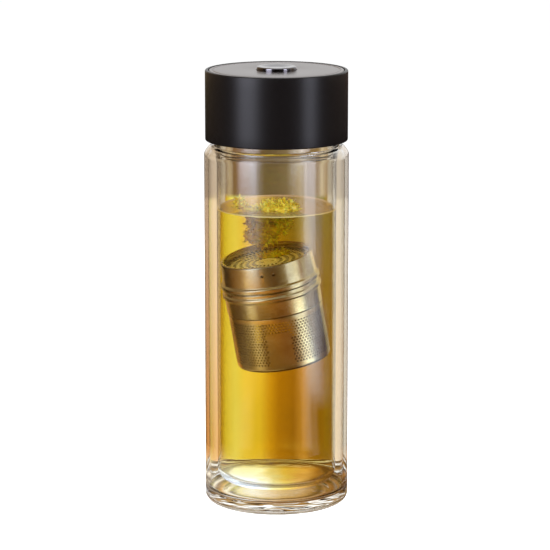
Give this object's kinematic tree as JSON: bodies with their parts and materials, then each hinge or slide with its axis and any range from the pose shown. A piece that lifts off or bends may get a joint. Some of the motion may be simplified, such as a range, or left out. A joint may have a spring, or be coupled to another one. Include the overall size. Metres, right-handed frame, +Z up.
{
  "type": "tea infuser tumbler",
  "caption": "Tall double-wall glass tumbler with a black screw cap, a push button that drops a steel tea infuser, and the infuser leaning inside the bore.",
  "frame": {"origin": "centre of the face that the tumbler stands on", "axes": "+Z up along the tumbler's own axis; -Y towards the picture's camera"},
  "size_m": [0.066, 0.066, 0.202],
  "materials": {
    "clear_glass": "clear polished borosilicate glass",
    "black_shell": "satin black anodised metal",
    "black_top": "finely brushed satin black metal",
    "black_plastic": "matte black polypropylene",
    "white_plastic": "natural white acetal",
    "silicone": "soft translucent silicone",
    "chrome": "polished dark chrome",
    "nickel": "nickel plating",
    "spring_steel": "bright drawn steel",
    "stainless": "satin stainless steel sheet",
    "magnetic_steel": "satin magnetic stainless steel"
  },
  "bodies": {
    "tumbler": {"outer_glass": "clear_glass", "inner_glass": "clear_glass"},
    "seal": {"seal_ring": "silicone"},
    "cap": {"cap_shell": "black_shell", "top_plate": "black_top", "thread_insert": "black_plastic", "button_guide": "white_plastic", "magnet_housing": "black_plastic", "rod_gland": "black_plastic", "ring_magnet": "nickel", "rod_o_ring": "silicone", "gland_bush": "white_plastic", "contact_plate": "magnetic_steel", "housing_screw_1": "spring_steel", "housing_screw_2": "spring_steel", "housing_screw_3": "spring_steel", "return_spring": "spring_steel"},
    "button": {"push_button": "chrome", "plunger_rod": "spring_steel", "retaining_clip": "spring_steel"},
    "infuser": {"infuser_cup": "stainless", "infuser_collar": "stainless"},
    "infuser_screen": {"lid_screen": "magnetic_steel"},
    "infuser_lid": {"infuser_lid_ring": "stainless"}
  },
  "joints": [
    {"name": "cap_rise", "type": "slide", "parent": "tumbler", "child": "seal", "axis": [0, 0, 1], "range_m": [0, 0.0225]},
    {"name": "cap_turn", "type": "hinge", "parent": "seal", "child": "cap", "pos_m": [0, 0, 0.1895], "axis": [0, 0, 1], "range_deg": [0, 1620]},
    {"name": "button_press", "type": "slide", "parent": "cap", "child": "button", "axis": [0, 0, -1], "range_m": [0, 0.003], "stiffness_N_per_m": 700, "springref_m": -0.004, "deforming": ["return_spring"]},
    {"name": "infuser_travel", "type": "slide", "parent": "tumbler", "child": "infuser", "axis": [0, 0, 1], "range_m": [-0.05, 0.045]},
    {"name": "infuser_lid_rise", "type": "slide", "parent": "infuser", "child": "infuser_screen", "axis": [-0.161, -0.082, 0.9835], "range_m": [0, 0.003]},
    {"name": "infuser_lid_turn", "type": "hinge", "parent": "infuser_screen", "child": "infuser_lid", "pos_m": [0.00342, 0.00174, 0.06636], "axis": [-0.161, -0.082, 0.9835], "range_deg": [0, 360]}
  ],
  "couplings": [
    {"joint": "cap_turn", "follows": "cap_rise", "rad_per_m": 1256.6},
    {"joint": "infuser_lid_turn", "follows": "infuser_lid_rise", "rad_per_m": 2094.4}
  ]
}
